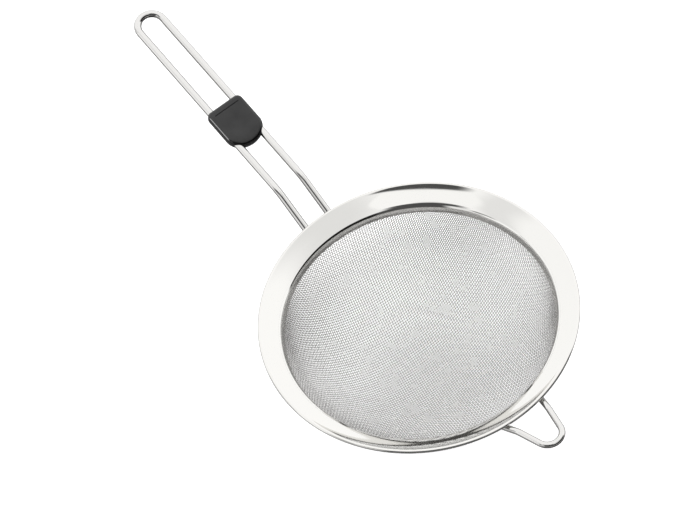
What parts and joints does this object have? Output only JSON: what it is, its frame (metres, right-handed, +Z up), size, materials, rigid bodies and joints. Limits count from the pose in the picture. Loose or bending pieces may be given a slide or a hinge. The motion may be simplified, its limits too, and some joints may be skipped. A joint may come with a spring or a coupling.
{
  "type": "kitchen sieve",
  "caption": "Round steel kitchen sieve: a woven wire bowl in a dished rim, with a hairpin wire handle, a black thumb rest and a wire hook that rests on a pot.",
  "frame": {"origin": "middle of the rim, level with the underside of its hem, which is the height of a pot's edge that the sieve lies on", "axes": "+X along the handle, away from the bowl; +Z up, out of the bowl's mouth"},
  "size_m": [0.4054, 0.2, 0.1449],
  "materials": {
    "polished_steel": "pressed stainless steel sheet, polished bright",
    "woven_steel": "plain weave of fine stainless wire",
    "wire_steel": "drawn stainless wire, polished bright",
    "black_plastic": "moulded black plastic, fine matt texture"
  },
  "bodies": {
    "root": {"rim": "polished_steel", "mesh_clamp_ring": "polished_steel", "mesh_bowl": "woven_steel", "handle_wire": "wire_steel", "rest_hook": "wire_steel", "clip_top_shell": "black_plastic", "clip_bottom_shell": "black_plastic"}
  },
  "joints": []
}
